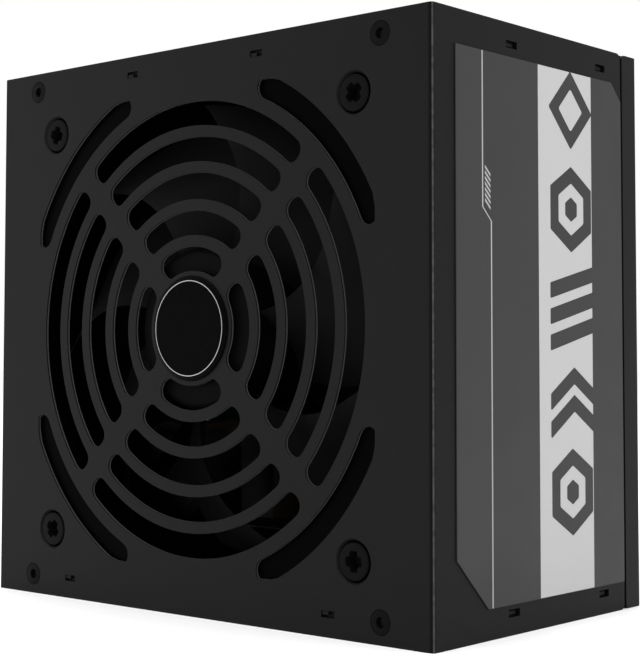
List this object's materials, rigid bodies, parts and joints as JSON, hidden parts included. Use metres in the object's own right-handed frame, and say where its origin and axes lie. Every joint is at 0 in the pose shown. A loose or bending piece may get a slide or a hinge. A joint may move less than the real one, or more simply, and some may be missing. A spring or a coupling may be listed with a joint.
{
  "type": "desktop computer power supply unit",
  "caption": "Black steel power supply unit for a desktop computer, with a ring grille over a cooling fan, a mains socket, a rocker switch and honeycomb vents.",
  "frame": {"origin": "on the surface that the unit stands on, under the middle of the case", "axes": "+X along the width of the fan face, towards the side that carries the label with the striped band; -Y is the way the fan face looks, across the case's depth; +Z from the cable end up to the mains end"},
  "size_m": [0.1508, 0.0872, 0.1442],
  "materials": {
    "case": "fine satin black powder coat",
    "case_screw": "black plated steel",
    "badge": "gloss black with a satin silver ring",
    "label": "satin grey printed film",
    "fan_plastic": "gloss black moulding",
    "black_plastic": "fine textured black moulding",
    "bare_steel": "bright zinc",
    "magnet": "dark bonded ferrite",
    "pin": "bright nickel plate",
    "brass": "turned brass",
    "aluminium": "extruded, unpainted",
    "board": "green solder mask",
    "insulator": "translucent film",
    "winding": "enamelled copper",
    "core_yellow": "yellow coating and tape",
    "capacitor": "sleeved can",
    "ferrite": "grey ferrite",
    "ceramic": "glazed ceramic"
  },
  "bodies": {
    "case": {"base_shell": "case", "board_screw_1": "bare_steel", "board_screw_2": "bare_steel", "board_screw_3": "bare_steel", "board_screw_4": "bare_steel", "board_standoff_1": "brass", "board_standoff_2": "brass", "board_standoff_3": "brass", "board_standoff_4": "brass", "bridge_rectifier": "black_plastic", "bulk_capacitor": "capacitor", "cable_grommet": "black_plastic", "case_screw_1": "case_screw", "case_screw_2": "case_screw", "case_screw_3": "case_screw", "case_screw_4": "case_screw", "control_board": "board", "emi_choke": "core_yellow", "fan_bearing": "brass", "fan_cover": "case", "fan_frame": "fan_plastic", "fan_screw_1": "case_screw", "fan_screw_2": "case_screw", "fan_screw_3": "case_screw", "fan_screw_4": "case_screw", "fan_stator": "winding", "fuse": "ceramic", "hub_badge": "badge", "inlet_housing": "black_plastic", "inlet_pin_earth": "pin", "inlet_pin_live": "pin", "inlet_pin_neutral": "pin", "insulator_sheet": "insulator", "main_board": "board", "main_transformer": "ferrite", "output_capacitor_1": "capacitor", "output_capacitor_2": "capacitor", "output_capacitor_3": "capacitor", "output_choke": "winding", "output_rectifier": "black_plastic", "pfc_choke": "winding", "primary_heatsink": "aluminium", "primary_transistor": "black_plastic", "rating_label": "label", "secondary_heatsink": "aluminium", "side_label": "label", "side_label_left": "label", "standby_transformer": "core_yellow", "switch_housing": "black_plastic", "thermistor": "ferrite", "x_capacitor": "core_yellow"},
    "fan_rotor": {"fan_impeller": "fan_plastic", "fan_magnet_ring": "magnet", "fan_shaft": "bare_steel"},
    "rocker": {"switch_rocker": "black_plastic"}
  },
  "joints": [
    {"name": "fan_spin", "type": "hinge", "parent": "case", "child": "fan_rotor", "pos_m": [0, 0, 0.07], "axis": [0, -1, 0], "continuous": true},
    {"name": "rocker_tilt", "type": "hinge", "parent": "case", "child": "rocker", "pos_m": [-0.014, 0.014, 0.1406], "axis": [1, 0, 0], "range_deg": [0, 20]}
  ]
}
